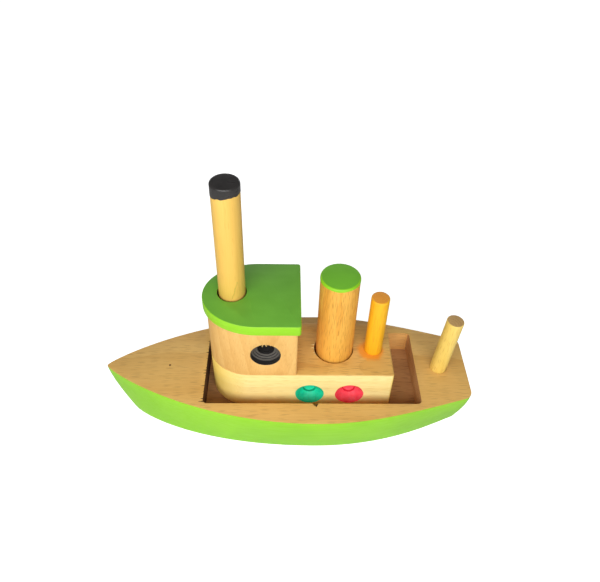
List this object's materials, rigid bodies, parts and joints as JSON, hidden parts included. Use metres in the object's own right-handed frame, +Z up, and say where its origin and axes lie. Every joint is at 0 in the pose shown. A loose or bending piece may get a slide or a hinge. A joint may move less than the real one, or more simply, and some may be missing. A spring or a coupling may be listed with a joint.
{
  "type": "wooden toy boat",
  "caption": "Wooden toy steamboat: flared hull with a deck pocket, lift-out cabin with roof, and loose mast and funnel that stand in bores.",
  "frame": {"origin": "on the floor under the middle of the hull's length and breadth", "axes": "+X to the bow, +Y to port, +Z up along the mast"},
  "size_m": [0.2, 0.0764, 0.1555],
  "materials": {
    "hull_beech": "clear-coated beech deck, lime green painted sides",
    "stern_peg_wood": "sanded pale dowel",
    "cabin_base_beech": "clear-coated pale wood with teal and red painted dots",
    "wheelhouse_beech": "clear-coated beech with a black painted porthole",
    "roof_paint": "lime green paint",
    "orange_stain": "orange stain",
    "mast_wood": "sanded pale dowel with a black dipped tip",
    "funnel_beech": "clear-coated beech dowel with a lime green painted top"
  },
  "bodies": {
    "hull": {"hull": "hull_beech", "stern_peg": "stern_peg_wood"},
    "cabin": {"cabin_base": "cabin_base_beech", "wheelhouse": "wheelhouse_beech", "roof": "roof_paint", "orange_peg": "orange_stain"},
    "mast": {"mast": "mast_wood"},
    "funnel": {"funnel": "funnel_beech"}
  },
  "joints": [
    {"name": "cabin_lift", "type": "slide", "parent": "hull", "child": "cabin", "axis": [0, 0, 1], "range_m": [0, 0.03]},
    {"name": "mast_lift", "type": "slide", "parent": "cabin", "child": "mast", "axis": [0, 0, 1], "range_m": [0, 0.036]},
    {"name": "funnel_lift", "type": "slide", "parent": "cabin", "child": "funnel", "axis": [0, 0, 1], "range_m": [0, 0.024]}
  ]
}
